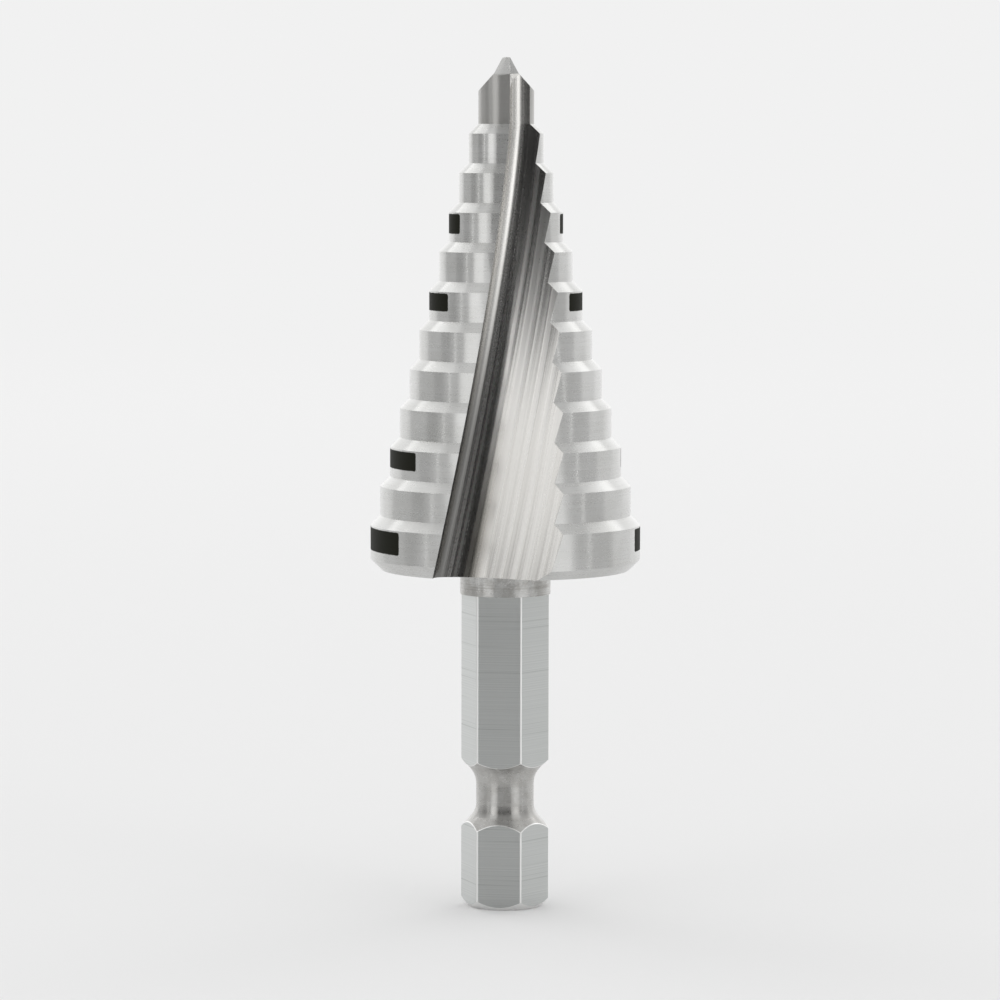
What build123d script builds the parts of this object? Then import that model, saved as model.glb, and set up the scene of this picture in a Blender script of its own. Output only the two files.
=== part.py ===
from build123d import *
from math import acos, asin, cos, degrees, log, radians, sin, tan
import os

# Step drill bit, turned and ground from one bar of high-speed steel: a split point, twelve steps
# crossed by two flutes, a turned collar, and a hexagon shank with a groove for a ball lock.
# The bit stands on the end of its shank. +Z runs along the axis to the point, the origin is the
# centre of the shank's end face, and one flute faces -Y. An angle about the axis is measured from
# -Y towards +X, which is the way the cutting edges travel.

# Steps, from the point down: 3/16 in rising by 1/16 in to 7/8 in, each 1/8 in long
STEP_COUNT = 12
FIRST_DIAMETER = 4.7625
DIAMETER_RISE = 1.5875
STEP_PITCH = 3.175
SHOULDER_ANGLE = 45.0
FIRST_WALL = 3.95
LAST_WALL = 2.66
BASE_CHAMFER = 1.0

# Clearance of the two lands behind their cutting edges
RELIEF_OFFSET = 0.15
RELIEF_LEAD = -10.0

# Flutes. Each pair is the size at the point and the size at the base.
EDGE_ANGLE = 7.4
HELIX_ANGLE = 6.0
FLUTE_WIDTH = (55.5, 51.5)
CORE_RADIUS = (1.2, 7.2)
GULLET_RADIUS = (2.0, 5.0)
GULLET_SWEEP = (9.0, 39.0)
CORNER_RADIUS = 1.1

# Split point
POINT_ANGLE = 118.0
CHISEL_WIDTH = 0.58
LIP_CLEARANCE = 11.0
GASH_WALL_ANGLE = 62.0
HEEL_ANGLE = 48.0
HEEL_DROP = 0.22
GASH_FLOOR_ANGLE = 50.0

# Shank: a 1/4 in hexagon with a turned collar under the steps
BASE_HEIGHT = 27.7
COLLAR_DIAMETER = 7.4
COLLAR_LENGTH = 2.0
HEX_WIDTH = 6.35
HEX_TURN = 21.0
HEX_EDGE_RADIUS = 0.3
END_DIAMETER = 5.85
END_SLOPE = 45.0

# Ball groove: a neck between two coned flares, with a round blend at each end of the neck
NECK_DIAMETER = 4.72
GROOVE_BOTTOM = 6.4
NECK_BOTTOM = 7.9
NECK_TOP = 10.9
GROOVE_TOP = 12.15
LOWER_BLEND = 1.5
UPPER_BLEND = 2.0

# Worked out from the sizes above
RISE = DIAMETER_RISE / 2
SHOULDER_HEIGHT = RISE / tan(radians(SHOULDER_ANGLE))
LAST_TOP = BASE_HEIGHT + BASE_CHAMFER + LAST_WALL
FIRST_RADIUS = FIRST_DIAMETER / 2
HEX_CORNER = HEX_WIDTH / 2 / cos(radians(30))


def step_radius(step):
    """Nominal radius of a step, counted from 1 at the point."""
    return FIRST_RADIUS + (step - 1) * RISE


def wall_top(step):
    """Height of the upper end of a step's wall."""
    return LAST_TOP + (STEP_COUNT - step) * STEP_PITCH


def wall_bottom(step):
    """Height of the lower end of a step's wall, where the next step's shoulder starts."""
    return wall_top(step + 1) + SHOULDER_HEIGHT


LIP_CORNER = wall_bottom(1) + FIRST_WALL
TOTAL_LENGTH = LIP_CORNER + FIRST_RADIUS / tan(radians(POINT_ANGLE / 2))


def edge_angle(radius):
    """Where the first cutting edge stands at a radius: a constant helix angle on the steps' cone."""
    cone_slope = RISE / STEP_PITCH
    return EDGE_ANGLE - degrees(tan(radians(HELIX_ANGLE)) / cone_slope * log(radius / FIRST_RADIUS))


def around(angle):
    """Turn about the axis, for something drawn along +X, to an angle counted from -Y."""
    return Rot(0, 0, angle - 90)


def at_angle(radius, angle):
    """Point at a radius and an angle counted from -Y."""
    return Vector(radius * sin(radians(angle)), -radius * cos(radians(angle)), 0)


def opposite(shape):
    """The same shape on the other side of the axis."""
    return Rot(0, 0, 180) * shape


def land():
    """One land's half of the stepped body. It is turned about an axis set off towards the cut, so
    each step falls away behind its cutting edge, which keeps the step's nominal radius."""
    seam = (edge_angle(FIRST_RADIUS) + edge_angle(step_radius(STEP_COUNT)) + FLUTE_WIDTH[1]) / 2
    axis = at_angle(RELIEF_OFFSET, RELIEF_LEAD)

    def about_axis(radius, edge):
        return (at_angle(radius, edge_angle(edge)) - axis).length

    last = step_radius(STEP_COUNT)
    outline = [(0, BASE_HEIGHT), (about_axis(last, last), BASE_HEIGHT)]
    for step in range(STEP_COUNT, 1, -1):
        radius = step_radius(step)
        smaller = step_radius(step - 1)
        outline.append((about_axis(radius, radius), wall_top(step)))
        outline.append((about_axis(smaller, smaller), wall_bottom(step - 1)))
    outline.append((about_axis(FIRST_RADIUS, FIRST_RADIUS), TOTAL_LENGTH))
    outline.append((0, TOTAL_LENGTH))
    profile = make_face(Plane.XZ * Polyline(*outline, close=True))
    turned = Pos(axis) * revolve(profile, Axis.Z)
    return split(turned, Plane(origin=(0, 0, 0), z_dir=at_angle(1, seam - 90)), keep=Keep.TOP)


def rim():
    """The cone that bounds the steps at the base. It is true to the axis, so the chamfer it leaves
    gets narrower where the land falls away."""
    radius = step_radius(STEP_COUNT) - BASE_CHAMFER
    height = TOTAL_LENGTH - BASE_HEIGHT
    align = (Align.CENTER, Align.CENTER, Align.MIN)
    return Pos(0, 0, BASE_HEIGHT) * Cone(radius, radius + height, height, align=align)


def between(pair, radius):
    """Size at a radius of the steps' cone, from the size at the point and the one at the base."""
    share = (radius - FIRST_RADIUS) / (step_radius(STEP_COUNT) - FIRST_RADIUS)
    return pair[0] + (pair[1] - pair[0]) * share


def flute_section(radius, height):
    """Section of a flute on the steps' cone: a cutting face that stands straight out along -Y at
    every height, the small corner and the wide gullet that the wheel leaves, and a flat wall whose
    line passes the axis at the core's radius. A direction here is the way that a surface faces."""
    heel_angle = edge_angle(radius) + between(FLUTE_WIDTH, radius)
    core = between(CORE_RADIUS, radius)
    gullet = between(GULLET_RADIUS, radius)
    wall_angle = heel_angle - degrees(acos(core / radius))
    face = at_angle(1, 90)
    wall = at_angle(1, wall_angle)
    change = at_angle(1, wall_angle + between(GULLET_SWEEP, radius))

    edge = at_angle(radius, edge_angle(radius))
    across = edge.X + CORNER_RADIUS * (face.X - change.X) + gullet * (change.X - wall.X)
    wall_foot = Vector(across, (core - across * wall.X) / wall.Y)
    gullet_centre = wall_foot + wall * gullet
    meeting = gullet_centre - change * gullet
    corner_centre = meeting + change * CORNER_RADIUS
    face_foot = corner_centre - face * CORNER_RADIUS
    corner_middle = corner_centre - (face + change).normalized() * CORNER_RADIUS
    gullet_middle = gullet_centre - (change + wall).normalized() * gullet

    face_out = edge - Vector(0, radius)
    wall_out = at_angle(radius, heel_angle) + Vector(-wall.Y, wall.X) * radius
    outline = Line(face_out, face_foot) + ThreePointArc(face_foot, corner_middle, meeting)
    outline += ThreePointArc(meeting, gullet_middle, wall_foot) + Line(wall_foot, wall_out)
    outline += Line(wall_out, face_out)
    return Pos(0, 0, height) * make_face(outline)


def flute():
    """The space of the first flute, with a section at the foot of each step and straight stretches
    between. It runs straight along the first step, and out past the point and the base."""
    sections = []
    for step in range(STEP_COUNT + 1, 0, -1):
        sections.append(flute_section(step_radius(step), wall_bottom(step)))
    sections.append(flute_section(FIRST_RADIUS, LIP_CORNER))
    sections.append(flute_section(FIRST_RADIUS, TOTAL_LENGTH + RISE))
    return loft(sections, ruled=True)


def above(origin, normal):
    """A block that stands on the plane through a point."""
    size = 2 * FIRST_DIAMETER
    return Plane(origin=origin, z_dir=normal) * Pos(0, 0, size / 2) * Box(size, size, size)


def point_grind():
    """What is ground off the point for one lip. The lip runs along +X, ahead of the axis by half of
    the chisel edge, and the cut travels towards +Y."""
    ahead = CHISEL_WIDTH / 2
    fall = 1 / tan(radians(POINT_ANGLE / 2))
    clearance = tan(radians(LIP_CLEARANCE))
    flank = above((0, 0, 0), (fall, -clearance, 1))
    gash_wall = above((0, -ahead, 0), (0, -tan(radians(GASH_WALL_ANGLE)), 1))
    heel = above((0, 0, -HEEL_DROP), (0, -tan(radians(HEEL_ANGLE)), 1))
    gash_floor = above((0, 0, 0), (-tan(radians(GASH_FLOOR_ANGLE)), 0, 1))
    other_lip = above((0, -ahead, 0), (0, -1, 0))
    ground = flank + (gash_wall & heel) + (gash_floor & other_lip)
    lip_angle = edge_angle(FIRST_RADIUS) - degrees(asin(ahead / FIRST_RADIUS))
    return Pos(0, 0, TOTAL_LENGTH) * around(lip_angle) * ground


def groove():
    """The ring cut out for the ball lock."""
    neck = NECK_DIAMETER / 2
    reach = 2 * HEX_CORNER
    outline = make_face(
        Polyline(
            (reach, GROOVE_BOTTOM),
            (HEX_CORNER, GROOVE_BOTTOM),
            (neck, NECK_BOTTOM),
            (neck, NECK_TOP),
            (HEX_CORNER, GROOVE_TOP),
            (reach, GROOVE_TOP),
            close=True,
        )
    )
    for height, blend in ((NECK_BOTTOM, LOWER_BLEND), (NECK_TOP, UPPER_BLEND)):
        bend = outline.vertices().sort_by_distance((neck, height, 0))[0]
        outline = fillet(bend, blend)
    return revolve(Plane.XZ * outline, Axis.Z)


def shank():
    """Hexagon shank with rounded corners, a coned end, the ball groove and the turned collar."""
    length = BASE_HEIGHT - COLLAR_LENGTH
    hexagon = RegularPolygon(HEX_CORNER, 6, rotation=HEX_TURN - 90)
    hexagon = fillet(hexagon.vertices(), HEX_EDGE_RADIUS)
    align = (Align.CENTER, Align.CENTER, Align.MIN)
    end_radius = END_DIAMETER / 2
    end_slope = Cone(end_radius, end_radius + length / tan(radians(END_SLOPE)), length, align=align)
    bar = (extrude(hexagon, length) & end_slope) - groove()
    collar = extrude(Circle(COLLAR_DIAMETER / 2), COLLAR_LENGTH)
    return bar + Pos(0, 0, length) * collar


def step_bit():
    """The whole bit as one solid."""
    half = land()
    cut = flute()
    grind = point_grind()
    body = (half + opposite(half)) & rim()
    body = body - cut - opposite(cut) - grind - opposite(grind)
    return body + shank()


os.makedirs("parts", exist_ok=True)
export_step(step_bit(), "parts/step_bit.step")
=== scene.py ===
# %% [markdown]
# A step drill bit, turned and ground from one bar of high-speed steel. Its shape is a CAD model:
# the point, twelve steps, two flutes, a collar and a hexagon shank are all one node. Nothing has to
# be modelled here, so this lesson is about metal. Bare steel has almost no colour of its own. What
# we see is the room, blurred by the marks that each tool left: rings from the lathe on the steps,
# long scratches from the wheel in the flutes, and fine cross lines from the grinder on the hexagon.
# So the lesson builds a studio for the steel to reflect. Then it makes one finish for each tool,
# and masks that work out from the bit's own sizes where each finish belongs.

# %% Load the fixed frame
import bmesh
import bpy
import math
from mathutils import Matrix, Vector

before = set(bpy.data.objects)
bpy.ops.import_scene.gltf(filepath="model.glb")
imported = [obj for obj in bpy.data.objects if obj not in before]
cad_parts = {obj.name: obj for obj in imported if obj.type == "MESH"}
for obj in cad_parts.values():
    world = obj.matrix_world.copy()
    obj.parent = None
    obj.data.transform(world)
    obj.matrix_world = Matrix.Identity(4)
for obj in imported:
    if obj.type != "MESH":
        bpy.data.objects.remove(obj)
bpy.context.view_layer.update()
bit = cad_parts["step_bit"]

# %% [markdown]
# The camera is a long lens close to the height of the point. It looks slightly down, so the steps
# show as shallow curves, and the end of the shank shows almost none of its curve. A long lens could
# also be made by eye, with a focal length in millimetres. Here the photograph's frame is square and
# 1000 pixels wide, so the focal length is measured in its pixels and then turned into the lens for
# a 36 mm sensor. A small turn to the side and a smaller roll put the bit where it stands in the
# frame.

# %% Camera
SENSOR_MM = 36
FRAME_PX = 1000
FOCAL_PX = 4565
PAN_PX = 6.2
CAMERA_DISTANCE = 0.371
CAMERA_HEIGHT = 0.06344
CAMERA_TILT = 4.64
CAMERA_ROLL = -0.11

camera_data = bpy.data.cameras.new("camera")
camera_data.sensor_width = SENSOR_MM
camera_data.lens = SENSOR_MM * FOCAL_PX / FRAME_PX
camera = bpy.data.objects.new("camera", camera_data)
camera.location = (0, -CAMERA_DISTANCE, CAMERA_HEIGHT)
camera.rotation_euler = (
    math.radians(90 - CAMERA_TILT),
    math.radians(CAMERA_ROLL),
    math.atan(PAN_PX / FOCAL_PX),
)
bpy.context.scene.collection.objects.link(camera)
bpy.context.scene.camera = camera
print("lens:", round(camera_data.lens, 1), "mm")

# %% [markdown]
# Shader nodes are easier to read as sums than as boxes and wires. `Field` wraps a socket whose
# value changes over the surface, and each of its operators adds one Math node. So `1 - mask` is
# written as it is said, and the node tree builds itself behind it.

# %% A number that varies over a surface
class Field:
    """A number that varies over a surface, with the operators of ordinary numbers."""

    def __init__(self, finish, socket):
        self.finish = finish
        self.socket = socket

    def math(self, operation, *values):
        """A Math node on these values, where the field itself is left out."""
        made = self.finish.node("Math", {"operation": operation}, dict(enumerate(values)))
        return Field(self.finish, made.outputs[0])

    def __add__(self, other):
        return self.math("ADD", self, other)

    def __sub__(self, other):
        return self.math("SUBTRACT", self, other)

    def __rsub__(self, other):
        return self.math("SUBTRACT", other, self)

    def __mul__(self, other):
        return self.math("MULTIPLY", self, other)

    def __truediv__(self, other):
        return self.math("DIVIDE", self, other)

    def __rtruediv__(self, other):
        return self.math("DIVIDE", other, self)

    def __neg__(self):
        return self * -1

    __radd__ = __add__
    __rmul__ = __mul__

    def do(self, operation):
        """A Math node that takes the field alone, such as SINE or ABSOLUTE."""
        return self.math(operation, self)

    def at_least(self, other):
        return self.math("MAXIMUM", self, other)

    def at_most(self, other):
        return self.math("MINIMUM", self, other)

    def rises(self, low, high):
        """0 below low, 1 above high, and a smooth slope between."""
        return self.finish.field(
            "MapRange",
            {"interpolation_type": "SMOOTHSTEP"},
            {"Value": self, "From Min": low, "From Max": high},
        )


print("a field can:", [name for name in vars(Field) if not name.startswith("__")])

# %% [markdown]
# `Finish` owns the node tree of one material. Its method `node` makes any node in one line: the
# type, then the settings, then the values or links of the sockets. The other methods are built on
# it, for the few kinds of node that a metal needs again and again.

# %% The node tree of a material
class Finish:
    """The node tree of one material."""

    def __init__(self, name):
        self.material = bpy.data.materials.new(name)
        self.material.use_nodes = True
        self.tree = self.material.node_tree
        self.shader = self.tree.nodes["Principled BSDF"]

    def feed(self, socket, value):
        """Links a field or an output to a socket, or sets it to a plain value."""
        if isinstance(value, Field):
            value = value.socket
        if isinstance(value, bpy.types.NodeSocket):
            self.tree.links.new(value, socket)
        else:
            socket.default_value = value

    def node(self, kind, settings=None, inputs=None):
        """Any node: its type, its settings, and the values or links of its sockets."""
        made = self.tree.nodes.new("ShaderNode" + kind)
        for name, value in (settings or {}).items():
            setattr(made, name, value)
        for name, value in (inputs or {}).items():
            self.feed(made.inputs[name], value)
        return made

    def field(self, kind, settings=None, inputs=None, output=0):
        """A node whose output is a number that varies over the surface."""
        return Field(self, self.node(kind, settings, inputs).outputs[output])

    def vector(self, *parts):
        """Three fields or numbers as one vector."""
        return self.node("CombineXYZ", None, dict(enumerate(parts))).outputs[0]

    def noise(self, where, scale, detail, settings=None):
        """A random pattern from 0 to 1."""
        inputs = {"Vector": where, "Scale": scale, "Detail": detail}
        return self.field("TexNoise", settings, inputs)

    def set(self, shader, **inputs):
        """Sockets of a shader by their names, with underscores for spaces."""
        for name, value in inputs.items():
            self.feed(shader.inputs[name.replace("_", " ")], value)

    def layered(self, mask, inside, outside):
        """One shader where the mask is 1, and another where it is 0."""
        shaders = {0: mask, 1: outside.outputs[0], 2: inside.outputs[0]}
        return self.node("MixShader", None, shaders)

    def show(self, shader):
        """Makes a shader's output what the surface shows."""
        surface = self.tree.nodes["Material Output"].inputs["Surface"]
        self.tree.links.new(shader.outputs[0], surface)


print("a finish can:", [name for name in vars(Finish) if not name.startswith("__")])

# %% [markdown]
# A small bright thing is photographed in a pale room, so that it never mirrors anything that isn't
# wanted. The world stands for that room: one pale grey that shows behind the bit and in its sides.
# The floor and the cards are small meshes, so one helper turns a bmesh into an object of the scene.

# %% World
def grey(level):
    """An opaque grey, as a colour."""
    return (level, level, level, 1)


def add_mesh(name, shape):
    """Turns a bmesh into an object of the scene."""
    mesh = bpy.data.meshes.new(name)
    shape.to_mesh(mesh)
    shape.free()
    made = bpy.data.objects.new(name, mesh)
    bpy.context.scene.collection.objects.link(made)
    return made


WORLD_GREY = grey(0.88)

world = bpy.data.worlds.new("studio")
world.use_nodes = True
world.node_tree.nodes["Background"].inputs["Color"].default_value = WORLD_GREY
bpy.context.scene.world = world
print("world:", WORLD_GREY)

# %% [markdown]
# The floor is a sheet of pale paper with a very faint tooth, and it keeps the bit's soft shadow. A
# photographer bends the paper up behind the object, so that no horizon cuts the picture. A bent
# sheet would show from other sides, so here the floor is one wide flat disc, and it changes into
# the world's own grey far out: a Mix Shader goes from paper to a plain glow of that grey.

# %% Floor
FLOOR_RADIUS = 3.0
FLOOR_SIDES = 96
FLOOR_GREY = 0.83
FLOOR_FADE = (0.25, 1.6)
PAPER_ROUGHNESS = 0.85
PAPER_TOOTH = 0.1

shape = bmesh.new()
bmesh.ops.create_circle(shape, cap_ends=True, segments=FLOOR_SIDES, radius=FLOOR_RADIUS)
floor = add_mesh("floor", shape)

paper = Finish("floor_paper")
paper_place = paper.node("TexCoord").outputs["Object"]
tooth = paper.noise(paper_place, scale=900.0, detail=3.0)
from_bit = paper.field("VectorMath", {"operation": "LENGTH"}, {"Vector": paper_place}, "Value")
paper.set(
    paper.shader,
    Base_Color=grey(FLOOR_GREY),
    Roughness=PAPER_ROUGHNESS + PAPER_TOOTH * tooth,
)
glow = paper.node("Emission", None, {"Color": WORLD_GREY, "Strength": 1.0})
paper.show(paper.layered(from_bit.rises(*FLOOR_FADE), glow, paper.shader))
floor.data.materials.append(paper.material)
print("floor:", FLOOR_RADIUS * 2, "m wide")

# %% [markdown]
# Satin metal only shows its form when some of what it reflects is bright and some is dark. The
# lights come first: a broad soft lamp at each side of the camera, a narrow strip further round for
# the bright line near each outline, a large faint one behind, and two high ones that reach the
# sloping shoulders. A wall that faces an angle reflects what stands at twice that angle, so a lamp
# is placed by its angle around the bit, counted from the camera towards +X.

# %% Lamps
TARGET = Vector((0, 0, 0.04))


def face_bit(thing, azimuth, elevation, distance):
    """Stands a lamp or a card around the bit, with its front towards it."""
    turn = math.radians(azimuth)
    rise = math.radians(elevation)
    flat = distance * math.cos(rise)
    aside = Vector((flat * math.sin(turn), -flat * math.cos(turn), distance * math.sin(rise)))
    thing.location = TARGET + aside
    thing.rotation_euler = (-aside).to_track_quat("-Z", "Y").to_euler()


def soft_lamp(name, at, size, radiance):
    """A rectangular lamp at an azimuth and an elevation in degrees and a distance in metres. Its
    power is worked out from how bright its face should look."""
    width, height = size
    lamp = bpy.data.lights.new(name, "AREA")
    lamp.shape = "RECTANGLE"
    lamp.size = width
    lamp.size_y = height
    lamp.energy = radiance * math.pi * width * height
    made = bpy.data.objects.new(name, lamp)
    face_bit(made, *at)
    made.visible_camera = False
    bpy.context.scene.collection.objects.link(made)
    print(name, "power", round(lamp.energy, 2), "W")


soft_lamp("lamp_left", at=(-47, 5, 0.6), size=(0.19, 0.8), radiance=0.58)
soft_lamp("lamp_right", at=(47, 5, 0.6), size=(0.22, 0.8), radiance=0.50)
soft_lamp("strip_left", at=(-70.5, 5, 0.45), size=(0.010, 0.7), radiance=1.8)
soft_lamp("strip_right", at=(75.5, 5, 0.45), size=(0.010, 0.7), radiance=1.8)
soft_lamp("lamp_back", at=(180, 15, 2.0), size=(4.0, 2.5), radiance=0.28)
soft_lamp("lamp_high_left", at=(-138, 43, 1.2), size=(0.6, 0.6), radiance=0.85)
soft_lamp("lamp_high_right", at=(140, 40, 1.2), size=(0.6, 0.5), radiance=0.68)

# %% [markdown]
# Then the dark. A photographer stands black and grey cards around polished metal, out of the
# picture, and their reflections draw its edges. A black card behind the camera makes the deep band
# along the flute's corner, grey cards at both sides model the round steps, a darker one stands in
# front of the left one, and a card overhead keeps the flat tops from turning white. Each card glows
# by itself at its own grey, so no lamp changes it, and only the bit's reflections can see it.

# %% Cards
HALF_METRE = 0.5


def card(name, at, size, level):
    """A card of one grey, placed as a lamp is. Only the metal sees it."""
    width, height = size
    shape = bmesh.new()
    bmesh.ops.create_grid(shape, x_segments=1, y_segments=1, size=HALF_METRE)
    bmesh.ops.scale(shape, vec=(width, height, 1), verts=shape.verts)
    made = add_mesh(name, shape)
    face_bit(made, *at)
    made.visible_camera = False
    made.visible_diffuse = False
    made.visible_shadow = False
    finish = Finish(name)
    finish.set(
        finish.shader,
        Base_Color=grey(0),
        Specular_IOR_Level=0.0,
        Emission_Color=grey(level),
        Emission_Strength=1.0,
    )
    made.data.materials.append(finish.material)
    print(name, "grey", level)


card("card_front", at=(-2.5, 12, 0.6), size=(0.62, 0.88), level=0.02)
card("card_left", at=(-92.5, 5, 0.6), size=(0.82, 0.9), level=0.45)
card("card_left_dark", at=(-87, 5, 0.5), size=(0.14, 0.75), level=0.24)
card("card_right", at=(82.5, 5, 0.6), size=(0.45, 0.9), level=0.45)
card("card_top", at=(0, 85, 0.6), size=(0.38, 0.38), level=0.52)

# %% [markdown]
# The steel has to know which part of the bit it is on. One way is to paint masks by hand, or to
# give every face of the model a slot of its own. Here the masks are worked out from the same few
# sizes that shaped the bit, so they are sharp at any distance. All sizes are in millimetres and
# degrees, as on a drawing. Each pair is the size at the point and the size at the base.

# %% Sizes of the bit that the finish needs
STEP_COUNT = 12
FIRST_DIAMETER = 4.7625
DIAMETER_RISE = 1.5875
STEP_PITCH = 3.175
BODY_FOOT = 27.7
BASE_CHAMFER = 1.0
FIRST_WALL = 3.95
LAST_WALL = 2.66

EDGE_ANGLE = 7.4
HELIX_ANGLE = 6.0
FLUTE_WIDTH = (55.5, 51.5)
CORE_RADIUS = (1.2, 7.2)
GULLET_RADIUS = (2.0, 5.0)
GULLET_SWEEP = (9.0, 39.0)
CORNER_RADIUS = 1.1

COLLAR_LENGTH = 2.0
HEX_WIDTH = 6.35
HEX_TURN = 21.0
GROOVE_BOTTOM = 6.4
GROOVE_TOP = 12.15

FIRST_RADIUS = FIRST_DIAMETER / 2
STEP_RISE = DIAMETER_RISE / 2
LAST_TOP = BODY_FOOT + BASE_CHAMFER + LAST_WALL
LAST_RADIUS = FIRST_RADIUS + (STEP_COUNT - 1) * STEP_RISE
FIRST_FOOT = LAST_TOP + (STEP_COUNT - 2) * STEP_PITCH + STEP_RISE
LIP_CORNER = FIRST_FOOT + FIRST_WALL
HEX_TOP = BODY_FOOT - COLLAR_LENGTH
print("foot of the first step:", round(FIRST_FOOT, 2), "mm; last radius", round(LAST_RADIUS, 2))

# %% [markdown]
# Every pattern starts from where the surface point is. Generated coordinates would stretch with the
# bit's box, and an unwrapped sheet would need seams. Object coordinates are true lengths in metres
# that stay with the bit, so they are only scaled to millimetres. The angle around the axis is
# counted from the front, towards +X.

# %% Where the surface point is
MM_IN_METRE = 1000.0

steel = Finish("ground_steel")
coordinates = steel.node("TexCoord").outputs
scaled = {"Vector": coordinates["Object"], "Scale": MM_IN_METRE}
in_mm = steel.node("VectorMath", {"operation": "SCALE"}, scaled).outputs[0]
parts = steel.node("SeparateXYZ", None, {0: in_mm}).outputs
x = Field(steel, parts[0])
y = Field(steel, parts[1])
z = Field(steel, parts[2])
angle = x.math("ARCTAN2", x, -y)
print("nodes for the coordinates:", len(steel.tree.nodes))

# %% [markdown]
# The flutes need more, because they wind and grow. The feet of the steps lie on a cone, and every
# size of a flute goes evenly with the radius of that cone, from the first step to the last. The
# cutting edge runs down the cone at one helix angle, so its angle around the axis goes with the
# logarithm of the radius. Where the wall ends on the cone gives the way that the wall faces: its
# line passes the axis at the radius of the core.

# %% The flute's sizes at this height
DEGREE = math.radians(1)
CONE_SLOPE = STEP_RISE / STEP_PITCH

cone = (FIRST_RADIUS + (FIRST_FOOT - z) * CONE_SLOPE).at_least(FIRST_RADIUS)
share = (cone - FIRST_RADIUS) / (LAST_RADIUS - FIRST_RADIUS)


def between(pair):
    """A size at this height, from the size at the point and the one at the base."""
    return pair[0] + share * (pair[1] - pair[0])


widening = cone / FIRST_RADIUS
turn_rate = math.tan(HELIX_ANGLE * DEGREE) / CONE_SLOPE
edge_turn = EDGE_ANGLE * DEGREE - turn_rate * widening.math("LOGARITHM", widening, math.e)
flute_width = between(FLUTE_WIDTH) * DEGREE
core = between(CORE_RADIUS)
wall_turn = edge_turn + flute_width - (core / cone).do("ARCCOSINE")
wall_sine = wall_turn.do("SINE")
wall_cosine = wall_turn.do("COSINE")
edge_run = turn_rate * math.log(LAST_RADIUS / FIRST_RADIUS) / DEGREE
print("the edge runs back by", round(edge_run, 1), "degrees from the point to the base")

# %% [markdown]
# The second flute is the first one turned by half a turn. Everything could be worked out twice, but
# it is shorter to fold the bit over: a point on the far side of the axis, seen from the middle of
# the flute, gets both its coordinates turned round. Then two distances are enough: how far the
# point is past the cutting face, and how far out it is towards the way that the wall faces.

# %% A place folded over to the first flute
middle = edge_turn + flute_width * 0.5
side = (x * middle.do("SINE") - y * middle.do("COSINE")).do("SIGN")
fx = x * side
fy = y * side
face_x = cone * edge_turn.do("SINE")
past_edge = fx - face_x
out_from_wall = fx * wall_sine - fy * wall_cosine
print("nodes so far:", len(steel.tree.nodes))

# %% [markdown]
# Now the masks. The steps, the collar and the hexagon are told apart by height. A point is in a
# flute where it is past the cutting face and no deeper than the wall. The model's surface strays
# from the exact one by a few hundredths of a millimetre, so that mask's slope lies just outside it.
# The corner beside the cutting face gets painted shade further down and a painted highlight near
# the point, so it has its own mask.

# %% Masks for the steps and the flutes
SHARP = 0.02
POINT_BLEND = 0.2
FLUTE_MARGIN = (-0.06, -0.01)
CORNER_REACH = (0.7, 1.3)


def above(height, blend=SHARP):
    """1 above a height, and 0 where it is more than the blend below it."""
    return z.rises(height - blend, height)


in_body = above(BODY_FOOT)
on_collar = above(HEX_TOP) * (1 - in_body)
on_point = above(LIP_CORNER + POINT_BLEND / 2, POINT_BLEND)
on_first_step = above(FIRST_FOOT) * (1 - on_point)
past_face = past_edge.rises(*FLUTE_MARGIN)
in_flute = in_body * past_face * (out_from_wall - core).rises(*FLUTE_MARGIN)
in_corner = in_flute * (1 - past_edge.rises(*CORNER_REACH))
print("steps from", BODY_FOOT, "to", round(LIP_CORNER, 2), "mm, collar from", HEX_TOP, "mm")

# %% [markdown]
# On the shank, the distance out towards the nearest flat says everything. It is half of the
# hexagon's width on a flat, a little less on the rounded corners, which are worn and carry a
# painted highlight, and much less in the ball groove, which the lathe cut and not the grinder.

# %% Masks for the shank
FLAT_COUNT = 6
GROOVE_MARGIN = (-0.09, -0.05)


def out_towards(turn):
    """How far out the point is in one direction, or in the opposite one."""
    return (x * math.sin(turn * DEGREE) - y * math.cos(turn * DEGREE)).do("ABSOLUTE")


flat_turns = [HEX_TURN + 360 / FLAT_COUNT * (flat + 0.5) for flat in range(FLAT_COUNT // 2)]
reach = out_towards(flat_turns[0])
for flat_turn in flat_turns[1:]:
    reach = reach.at_least(out_towards(flat_turn))
past_flat = reach - HEX_WIDTH / 2
# the rounded corners, which are worn and carry a painted highlight
worn_and_highlighted = 1 - past_flat.rises(-SHARP, 0)
at_groove = above(GROOVE_BOTTOM) * (1 - above(GROOVE_TOP + SHARP))
in_groove = at_groove * (1 - past_flat.rises(*GROOVE_MARGIN))
on_flats = (1 - above(HEX_TOP)) * (1 - in_groove)
print("flats face", flat_turns, "degrees, and the opposite ways")

# %% [markdown]
# The CAD model's flute is made of straight stretches, one for each step, but the wheel swept the
# real one in a single pass. A finer model would cost many faces. Instead, the way that the surface
# faces is worked out anew from the same section: towards the centre of the gullet's arc or of the
# corner's arc, and never past the wall or the cutting face. Only the slope along the axis is taken
# from the model. The bit stands unturned at the origin, so its directions are the world's too.

# %% Which way the flute faces
gullet = between(GULLET_RADIUS)
change_turn = wall_turn + between(GULLET_SWEEP) * DEGREE
change_sine = change_turn.do("SINE")
change_cosine = change_turn.do("COSINE")

foot_x = face_x + CORNER_RADIUS * (1 - change_sine) + gullet * (change_sine - wall_sine)
foot_y = (foot_x * wall_sine - core) / wall_cosine
gullet_x = foot_x + gullet * wall_sine
gullet_y = foot_y - gullet * wall_cosine
corner_x = gullet_x - (gullet - CORNER_RADIUS) * change_sine
corner_y = gullet_y + (gullet - CORNER_RADIUS) * change_cosine


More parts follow.
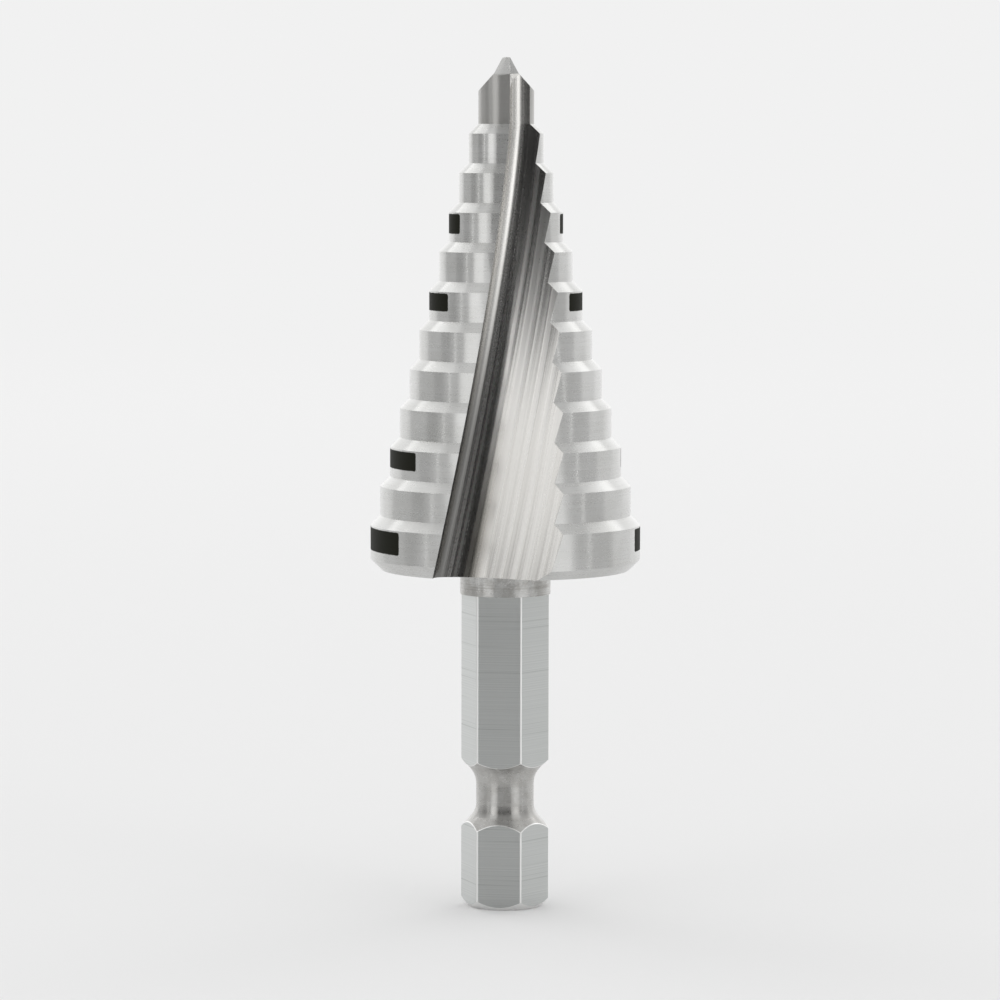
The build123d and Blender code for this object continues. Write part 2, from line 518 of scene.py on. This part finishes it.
def turned_to(centre_x, centre_y, least, most):
    """Direction from the surface to the centre of an arc, between two limits."""
    towards = fx.math("ARCTAN2", centre_x - fx, fy - centre_y)
    return towards.at_least(least).at_most(most)


faces = turned_to(gullet_x, gullet_y, wall_turn, change_turn) - change_turn
faces = faces + turned_to(corner_x, corner_y, change_turn, math.pi / 2)
slope = steel.node("SeparateXYZ", None, {0: coordinates["Normal"]}).outputs[2]
swept = steel.vector(side * faces.do("SINE"), -side * faces.do("COSINE"), slope)
swept = steel.node("VectorMath", {"operation": "NORMALIZE"}, {0: swept}).outputs[0]
print("nodes with the flute's facing:", len(steel.tree.nodes))

# %% [markdown]
# Tool marks. Every cutter leaves lines along its own path, so each pattern is noise that is
# stretched along that path: many changes across it, few along it. A picture of scratches would need
# seams and would blur close up; noise has neither fault. The lathe's rings are noise in space that
# changes quickly with height. The others are drawn on a sheet whose two directions follow the tool.

# %% Tool marks
def lines(across, along, fine, slow, detail=4.0):
    """Noise in lines. fine and slow are the changes across them and along them."""
    sheet = steel.vector(across * fine, along * slow, 0.0)
    return steel.noise(sheet, 1.0, detail, {"noise_dimensions": "2D"})


LATHE_FINE = 7.0
LATHE_AROUND = 0.12
FURROW_CONTRAST = (0.35, 0.65)
FURROW_WEIGHT = 0.6
SCRATCH_CONTRAST = (0.68, 0.74)
COLLAR_CONTRAST = (0.52, 0.6)
COLLAR_RINGS_END = (0.9, 1.3)

ring_place = steel.vector(x * LATHE_AROUND, y * LATHE_AROUND, z * LATHE_FINE)
turned = steel.noise(ring_place, scale=1.0, detail=4.0)
collar_rings = lines(z, angle, fine=6.0, slow=0.4).rises(*COLLAR_CONTRAST)
collar_rings = collar_rings * (1 - (z - HEX_TOP).rises(*COLLAR_RINGS_END))
furrows = lines(past_edge, z, fine=2.0, slow=0.008, detail=2.0)
fine_lines = lines(past_edge, z, fine=9.0, slow=0.02)
ground_along = FURROW_WEIGHT * furrows.rises(*FURROW_CONTRAST)
ground_along = ground_along + (1 - FURROW_WEIGHT) * fine_lines
ground_across = lines(z, angle, fine=10.0, slow=0.03)
scratches = lines(z, angle, fine=5.0, slow=0.1, detail=1.0).rises(*SCRATCH_CONTRAST)
print("lathe rings:", LATHE_FINE, "changes to a millimetre")

# %% [markdown]
# Steel that has been handled also has marks without a direction: a fine grain all over, slow clouds
# of lighter and darker metal, and the smudges that fingers and oil leave. Each is plain noise at a
# size of its own, and the smudges get a firm edge by cutting the noise off on both sides.

# %% Grain, clouds and smudges
SMUDGE_CONTRAST = (0.38, 0.62)
GRAIN_IN_SMUDGES = 0.3

grain = steel.noise(in_mm, scale=5.0, detail=3.0)
cloud = steel.noise(in_mm, scale=0.35, detail=2.0)
blotches = steel.noise(in_mm, scale=1.1, detail=5.0)
smudges = (1 - GRAIN_IN_SMUDGES) * blotches + GRAIN_IN_SMUDGES * grain
smudges = smudges.rises(*SMUDGE_CONTRAST)
print("nodes with all the marks:", len(steel.tree.nodes))

# %% [markdown]
# Size marks. Four steps carry a dark printed patch that helps to count them. Each starts just under
# the upper rim of its step's wall and has small round corners. They could be thin plates, but print
# has no thickness to see, so each is a field of colour: the distance to a rounded rectangle that is
# rolled round the step, with a little grain in it so that the rim isn't perfectly clean.

# %% Printed patches
PATCHES = (
    # the ends are angles around the axis in degrees, and the height is in millimetres
    {"step": 4, "leading": -51.8, "trailing": -108.4, "height": 1.6},
    {"step": 6, "leading": -47.4, "trailing": -123.7, "height": 1.45},
    {"step": 10, "leading": -49.3, "trailing": -95.0, "height": 1.5},
    {"step": 12, "leading": -50.4, "trailing": -107.3, "height": 1.85},
)
PATCH_CORNER = 0.2
PATCH_GAP = 0.12
PATCH_RAGGED = 0.12
PATCH_SOFT = 0.03
SEAM = 1e-5

folded_angle = angle - math.pi * angle.rises(-SEAM, SEAM)


def patch(step, leading, trailing, height):
    """1 inside one printed patch and its copy half a turn away."""
    wall_radius = FIRST_RADIUS + (step - 1) * STEP_RISE
    half_width = (leading - trailing) * DEGREE / 2 * wall_radius
    centre_angle = (leading + trailing) * DEGREE / 2
    centre_height = LAST_TOP + (STEP_COUNT - step) * STEP_PITCH - PATCH_GAP - height / 2
    aside = ((folded_angle - centre_angle) * wall_radius).do("ABSOLUTE")
    aside = (aside - (half_width - PATCH_CORNER)).at_least(0)
    upwards = (z - centre_height).do("ABSOLUTE")
    upwards = (upwards - (height / 2 - PATCH_CORNER)).at_least(0)
    outside = (aside * aside + upwards * upwards).do("SQRT") + PATCH_RAGGED * (grain - 0.5)
    print("patch on step", step, round(half_width * 2, 1), "x", height, "mm")
    return 1 - outside.rises(PATCH_CORNER - PATCH_SOFT, PATCH_CORNER + PATCH_SOFT)


printed = patch(**PATCHES[0])
for row in PATCHES[1:]:
    printed = printed.at_least(patch(**row))
printed = printed * (1 - in_flute)

# %% [markdown]
# All bare steel is one kind of shader with other numbers. It is fully metallic. The marks change
# its roughness a little and are felt as a bump. Many fine parallel marks also spread a reflection
# across themselves, which is what Anisotropic does; its rotation says which way the marks run. One
# shader could cover the whole bit, but spread and rotation are plain numbers that belong to one
# tool, so each tool gets a shader of its own.

# %% One kind of bare steel
ROUND = 0.25
LENGTHWISE = 0.0
GRAIN_ROUGHNESS = 0.04
BUMP_DISTANCE = 0.00003


def mixed(factor, first, second):
    """A colour between two colours."""
    made = steel.node("Mix", {"data_type": "RGBA"}, {"Factor": factor})
    # sockets 6 and 7 are the colours of a Mix node, and its output 2 is a colour
    steel.feed(made.inputs[6], first)
    steel.feed(made.inputs[7], second)
    return made.outputs[2]


def metal(colour, marks, felt, depth, roughness, uneven, spread, run, facing=None):
    """Bare steel with one kind of tool marks. They change the roughness by uneven, and felt is the
    height of their bump. spread is how much wider the steel glints across them."""
    bump_inputs = {"Strength": depth, "Distance": BUMP_DISTANCE, "Height": felt}
    if facing is not None:
        bump_inputs["Normal"] = facing
    bump = steel.node("Bump", None, bump_inputs)
    shader = steel.node("BsdfPrincipled")
    steel.set(
        shader,
        Base_Color=colour,
        Metallic=1.0,
        Roughness=roughness + uneven * (marks - 0.5) + GRAIN_ROUGHNESS * (grain - 0.5),
        Anisotropic=spread,
        Anisotropic_Rotation=run,
        Normal=bump.outputs[0],
    )
    return shader


print("marks that run round:", ROUND, "of a turn; marks along the axis:", LENGTHWISE)

# %% [markdown]
# Turned steel, on the steps, the point, the collar and the groove. The lathe leaves rings, and the
# steel under them is clean and neutral. The first step starts every hole and is scuffed and dull.
# The groove and the collar are smudged, because the steel ball and the chuck rub there, and the
# groove also carries painted shade over the whole recess. All of this could be painted by hand.
# Here it is one amount of darkening, added up from the masks.

# %% Turned steel
STEEL = (0.65, 0.65, 0.64, 1)
STEEL_DULL = (0.57, 0.57, 0.555, 1)
# the colour of smudges and dull wear, and of the groove's painted shade
SMUDGED_AND_SHADED_STEEL = (0.40, 0.39, 0.37, 1)
LATHE_ROUGHNESS = 0.28
LATHE_CONTRAST = (0.3, 0.7)
CLOUD_WEIGHT = 0.6
GRAIN_FELT = 0.05

# amounts of dullness, smudges, painted shade and roughness
FIRST_STEP_DULL = 0.5
FIRST_STEP_SCUFFED = 0.14
GROOVE_PAINTED_SHADE = 0.4
GROOVE_SMUDGED = 0.3
COLLAR_DULL = 0.1
COLLAR_SMUDGED = 0.6
COLLAR_RINGED = 0.5

# the groove: painted shade over the whole recess, with smudges on top
groove_shade_and_smudges = GROOVE_PAINTED_SHADE + GROOVE_SMUDGED * smudges
collar_dull = COLLAR_DULL + COLLAR_SMUDGED * smudges + COLLAR_RINGED * collar_rings
dulled_and_shaded = FIRST_STEP_DULL * on_first_step + in_groove * groove_shade_and_smudges + on_collar * collar_dull
clean = ((1 - CLOUD_WEIGHT) * turned + CLOUD_WEIGHT * cloud).rises(*LATHE_CONTRAST)
turned_colour = mixed(clean, STEEL_DULL, STEEL)
turned_colour = mixed(dulled_and_shaded.at_most(1), turned_colour, SMUDGED_AND_SHADED_STEEL)
lathe = metal(
    colour=turned_colour,
    marks=turned,
    felt=turned + GRAIN_FELT * grain,
    depth=0.02,
    roughness=LATHE_ROUGHNESS + FIRST_STEP_SCUFFED * on_first_step,
    uneven=0.06,
    spread=1.0,
    run=ROUND,
)
print("nodes with the turned steel:", len(steel.tree.nodes))

# %% [markdown]
# Wheel-ground steel, in the flutes. The wheel runs along them, leaves long furrows and warms the
# steel to a faintly yellow tone. The colour also carries painted light: painted shade on the wall
# beside the first step, a painted highlight a little below it and painted shade again at the base.
# Near the base a streak of painted shade lies beside the gullet. The corner at the cutting face has
# painted shade lower down and a painted highlight near the point. Each of these is a colour mixed
# in by the share of the way down and by the distance past the cutting face.

# %% Wheel-ground steel
WARM_STEEL = (0.84, 0.828, 0.802, 1)
# the dark end of the wall's grind lines and of its painted shade
WARM_STEEL_SHADED_AND_LINED = (0.48, 0.47, 0.45, 1)
# the colour of the painted shade beside the gullet
GULLET_PAINTED_SHADE = (0.22, 0.20, 0.16, 1)
# the colour of the painted shade in the corner beside the cutting face
CORNER_PAINTED_SHADE = (0.18, 0.178, 0.172, 1)

# shares of the way from the first step to the last
PAINTED_LIGHT_RISES = (0.0, 0.3)
PAINTED_SHADE_RISES = (0.36, 0.85)
CORNER_HIGHLIGHT_ENDS = (0.05, 0.3)
CORNER_SHADE_STARTS = (0.1, 0.8)
GULLET_SHADE_STARTS = (0.6, 1.0)

# millimetres past the cutting face
GULLET_SHADE_NEAR = (1.9, 2.6)
GULLET_SHADE_FAR = (2.8, 4.4)

# amounts of brightness, darkness and height
PAINTED_SHADE_AMOUNT = 0.66
LINED_BY = 0.7
CORNER_PAINTED_HIGHLIGHT = 0.8
GULLET_SHADE_DARKNESS = 0.6
LINES_FELT = 0.06

# painted light and shade down the wall: painted shade at the tip and the base, a painted highlight
# between, with the grind lines on top
painted_light_and_lines = share.rises(*PAINTED_LIGHT_RISES) - PAINTED_SHADE_AMOUNT * share.rises(*PAINTED_SHADE_RISES)
painted_light_and_lines = painted_light_and_lines + LINED_BY * (ground_along - 0.5)
# a painted highlight in the corner near the point
painted_light_and_lines = painted_light_and_lines + CORNER_PAINTED_HIGHLIGHT * in_corner * (1 - share.rises(*CORNER_HIGHLIGHT_ENDS))
# a streak of painted shade beside the gullet, near the base
painted_gullet_shade = past_edge.rises(*GULLET_SHADE_NEAR) * (1 - past_edge.rises(*GULLET_SHADE_FAR))
painted_gullet_shade = GULLET_SHADE_DARKNESS * painted_gullet_shade * share.rises(*GULLET_SHADE_STARTS)
ground_colour = mixed(painted_light_and_lines.at_least(0).at_most(1), WARM_STEEL_SHADED_AND_LINED, WARM_STEEL)
ground_colour = mixed(painted_gullet_shade, ground_colour, GULLET_PAINTED_SHADE)
# painted shade in the corner, deeper towards the base
ground_colour = mixed(in_corner * share.rises(*CORNER_SHADE_STARTS), ground_colour, CORNER_PAINTED_SHADE)
wheel = metal(
    colour=ground_colour,
    marks=ground_along,
    felt=furrows + LINES_FELT * ground_along,
    depth=0.5,
    roughness=0.26,
    uneven=0.1,
    spread=0.5,
    run=LENGTHWISE,
    facing=swept,
)
print("nodes with the wheel-ground steel:", len(steel.tree.nodes))

# %% [markdown]
# Cross-ground steel, on the hexagon. The bar went through the grinder sideways, so fine lines run
# round every flat, with a few single scratches. They are felt as well as seen, so the same lines
# drive the colour, the roughness and the bump. This steel looks a little cooler than the rest, and
# its rounded corners are pale: worn by the chuck, with a painted highlight along them.

# %% Cross-ground steel
COOL_STEEL = (0.71, 0.725, 0.715, 1)
COOL_STEEL_DULL = (0.50, 0.515, 0.505, 1)
# the rounded corners: chuck wear with a painted highlight
WORN_AND_HIGHLIGHTED_STEEL = (0.90, 0.90, 0.89, 1)

crossed_colour = mixed(ground_across * (1 - scratches), COOL_STEEL_DULL, COOL_STEEL)
crossed_colour = mixed(worn_and_highlighted, crossed_colour, WORN_AND_HIGHLIGHTED_STEEL)
flats = metal(
    colour=crossed_colour,
    marks=ground_across,
    felt=ground_across,
    depth=0.10,
    roughness=0.32,
    uneven=0.08,
    spread=0.9,
    run=ROUND,
)
print("nodes with the cross-ground steel:", len(steel.tree.nodes))

# %% [markdown]
# The print is a dull film, almost black and very slightly green, with next to no gloss. Last, the
# shaders are laid over one another like stencils: the hexagon's over the turned one, the flutes'
# over both, and the film over all. Every slot of the CAD node gets this one material.

# %% Film, and the whole finish
FILM = (0.010, 0.0105, 0.006, 1)
FILM_ROUGHNESS = 0.5
FILM_UNEVEN = 0.1
FILM_GLOSS = 0.06

film = steel.node("BsdfPrincipled")
steel.set(
    film,
    Base_Color=FILM,
    Roughness=FILM_ROUGHNESS + FILM_UNEVEN * grain,
    Specular_IOR_Level=FILM_GLOSS,
)
bare = steel.layered(in_flute, wheel, steel.layered(on_flats, flats, lathe))
steel.show(steel.layered(printed, film, bare))

for slot in bit.material_slots:
    slot.material = steel.material
print("nodes in the steel:", len(steel.tree.nodes))

# %% [markdown]
# Last, the view is set to Standard, which shows each colour as it is written; a film-like view
# would grey the pale room. Nothing is added to the CAD model.

# %% Colour management and the end
bpy.context.scene.view_settings.view_transform = "Standard"
